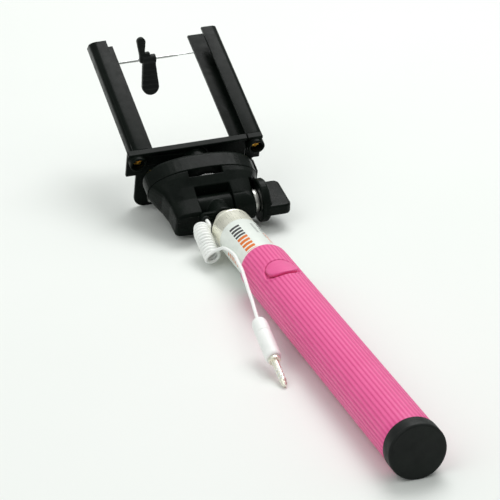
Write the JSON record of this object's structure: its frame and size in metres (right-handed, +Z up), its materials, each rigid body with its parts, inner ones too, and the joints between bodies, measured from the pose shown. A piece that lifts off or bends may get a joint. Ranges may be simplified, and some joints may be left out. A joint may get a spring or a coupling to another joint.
{
  "type": "wired selfie stick",
  "caption": "Telescopic handheld stick with ribbed rubber grip and shutter button, tilting head, sprung phone clamp and a curly audio lead.",
  "frame": {"origin": "on the table, under the middle of the bounding box of the object without its loose lead", "axes": "+Y along the stick from the end cap to the clamp, +Z up from the table, +X towards the tilt knob"},
  "size_m": [0.0794, 0.4386, 0.0776],
  "materials": {
    "grip_pink": "ribbed lengthwise, matt",
    "soft_black": "smooth, matt",
    "body_black": "satin, lightly grained",
    "inner_grey": "moulded",
    "bright_steel": "polished",
    "plain_steel": "drawn",
    "brass": "turned",
    "label_film": "printed with plain bars, no lettering",
    "lead_white": "smooth",
    "circuit_film": "flexible strip"
  },
  "bodies": {
    "handle": {"end_cap": "soft_black", "grip_sleeve": "grip_pink", "switch_strip": "circuit_film", "switch_dome": "plain_steel", "tube_label": "label_film", "outer_tube": "bright_steel", "mouth_bush_1": "inner_grey"},
    "button": {"shutter_button": "grip_pink"},
    "section_2": {"tube_2": "bright_steel", "tail_guide_2": "inner_grey", "mouth_bush_2": "inner_grey"},
    "section_3": {"tube_3": "bright_steel", "tail_guide_3": "inner_grey", "mouth_bush_3": "inner_grey"},
    "section_4": {"tube_4": "bright_steel", "tail_guide_4": "inner_grey", "mouth_bush_4": "inner_grey"},
    "section_5": {"tube_5": "bright_steel", "tail_guide_5": "inner_grey", "mouth_bush_5": "inner_grey"},
    "section_6": {"tube_6": "bright_steel", "tail_guide_6": "inner_grey", "neck_barrel": "body_black", "inner_lead": "lead_white", "cable_gland": "soft_black", "cable_coil": "lead_white", "cable_tail": "lead_white", "plug_body": "lead_white", "jack_sleeve": "bright_steel", "jack_insulator_1": "lead_white", "jack_ring_1": "bright_steel", "jack_insulator_2": "lead_white", "jack_ring_2": "bright_steel", "jack_insulator_3": "lead_white", "jack_tip": "bright_steel"},
    "head": {"head_body": "body_black", "head_platform": "body_black", "hinge_bolt": "plain_steel", "hinge_nut": "plain_steel", "knob_washer": "plain_steel"},
    "knob": {"tilt_knob": "body_black", "knob_insert": "brass"},
    "screw": {"thumb_wheel": "bright_steel", "clamp_screw": "plain_steel"},
    "clamp": {"clamp_base": "body_black", "clamp_insert": "brass", "left_rail": "body_black", "left_rail_screw": "brass", "left_rail_pad": "soft_black", "wire_tube": "bright_steel", "upper_clamp_spring": "plain_steel", "lower_clamp_spring": "plain_steel"},
    "jaw": {"jaw_block": "body_black", "right_rail": "body_black", "right_rail_screw": "brass", "right_rail_pad": "soft_black", "upper_guide_rod": "plain_steel", "lower_guide_rod": "plain_steel", "wire_rod": "bright_steel"},
    "tab": {"wire_tab": "soft_black"}
  },
  "joints": [
    {"name": "button_press", "type": "slide", "parent": "handle", "child": "button", "axis": [0, 0, -1], "range_m": [0, 0.0003], "stiffness_N_per_m": 2000, "springref_m": -0.0002},
    {"name": "section_2_slide", "type": "slide", "parent": "handle", "child": "section_2", "axis": [0, 1, 0], "range_m": [0, 0.165]},
    {"name": "section_3_slide", "type": "slide", "parent": "section_2", "child": "section_3", "axis": [0, 1, 0], "range_m": [0, 0.165]},
    {"name": "section_4_slide", "type": "slide", "parent": "section_3", "child": "section_4", "axis": [0, 1, 0], "range_m": [0, 0.165]},
    {"name": "section_5_slide", "type": "slide", "parent": "section_4", "child": "section_5", "axis": [0, 1, 0], "range_m": [0, 0.165]},
    {"name": "section_6_slide", "type": "slide", "parent": "section_5", "child": "section_6", "axis": [0, 1, 0], "range_m": [0, 0.165]},
    {"name": "head_tilt", "type": "hinge", "parent": "section_6", "child": "head", "pos_m": [-0.00075, 0.09267, 0.0137], "axis": [1, 0, 0], "range_deg": [-114, 65]},
    {"name": "knob_turn", "type": "hinge", "parent": "head", "child": "knob", "pos_m": [-0.00075, 0.09267, 0.0137], "axis": [1, 0, 0], "range_deg": [0, 540]},
    {"name": "screw_turn", "type": "hinge", "parent": "head", "child": "screw", "pos_m": [-0.00075, 0.09267, 0.0137], "axis": [0, 0.91, 0.4147], "continuous": true},
    {"name": "clamp_swivel", "type": "hinge", "parent": "head", "child": "clamp", "pos_m": [-0.00075, 0.09267, 0.0137], "axis": [0, 0.91, 0.4147], "range_deg": [-180, 180]},
    {"name": "jaw_slide", "type": "slide", "parent": "clamp", "child": "jaw", "axis": [1, 0, 0], "range_m": [0, 0.022], "stiffness_N_per_m": 400, "springref_m": -0.015, "deforming": ["upper_clamp_spring", "lower_clamp_spring"]},
    {"name": "tab_turn", "type": "hinge", "parent": "clamp", "child": "tab", "pos_m": [-0.00475, 0.20554, 0.06382], "axis": [1, 0, 0], "range_deg": [-165, 165]}
  ]
}
